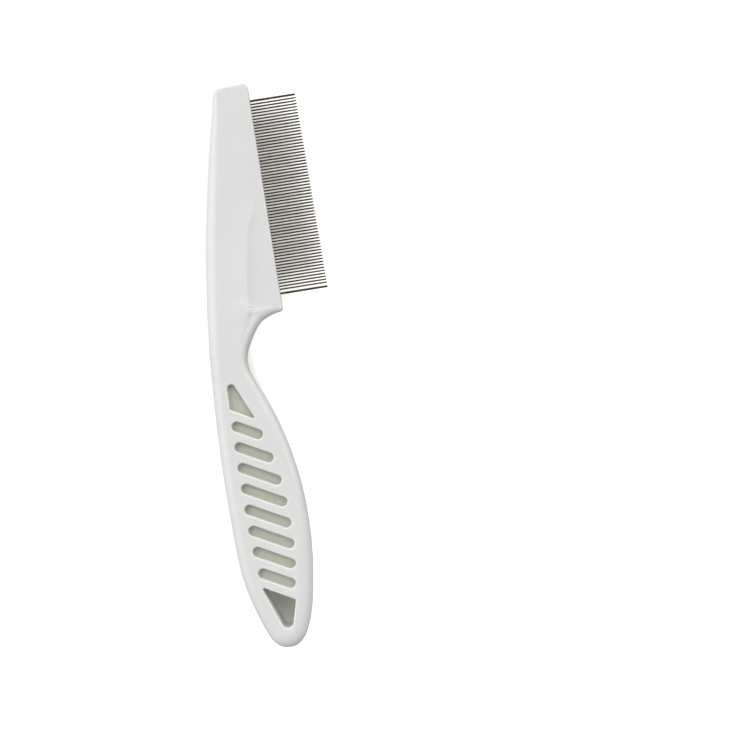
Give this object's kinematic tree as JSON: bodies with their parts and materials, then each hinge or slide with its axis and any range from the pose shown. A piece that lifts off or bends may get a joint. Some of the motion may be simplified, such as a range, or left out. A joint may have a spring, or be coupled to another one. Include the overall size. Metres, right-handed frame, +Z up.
{
  "type": "flea comb",
  "caption": "Fine-toothed pet comb lying flat: a slim curved plastic grip with slanted slots and a hanging hole, and a straight row of steel pins along its head.",
  "frame": {"origin": "middle of the whole comb's box in X and Y, on the plane of its underside", "axes": "+X runs along the pins to their tips, +Y along the row of pins from the heel to the head's tip, +Z up out of the flat-lying comb"},
  "size_m": [0.0418, 0.1784, 0.009],
  "materials": {
    "handle_plastic": "white, satin, as moulded",
    "pin_steel": "drawn stainless wire"
  },
  "bodies": {
    "root": {"handle": "handle_plastic", "guard_pin_tip": "pin_steel", "guard_pin_heel": "pin_steel", "fine_pins_01": "pin_steel", "fine_pins_02": "pin_steel", "fine_pins_03": "pin_steel", "fine_pins_04": "pin_steel", "fine_pins_05": "pin_steel", "fine_pins_06": "pin_steel", "fine_pins_07": "pin_steel", "fine_pins_08": "pin_steel", "fine_pins_09": "pin_steel", "fine_pins_10": "pin_steel", "fine_pins_11": "pin_steel", "fine_pins_12": "pin_steel", "fine_pins_13": "pin_steel", "fine_pins_14": "pin_steel", "fine_pins_15": "pin_steel", "fine_pins_16": "pin_steel", "fine_pins_17": "pin_steel", "fine_pins_18": "pin_steel", "fine_pins_19": "pin_steel", "fine_pins_20": "pin_steel", "fine_pins_21": "pin_steel"}
  },
  "joints": []
}
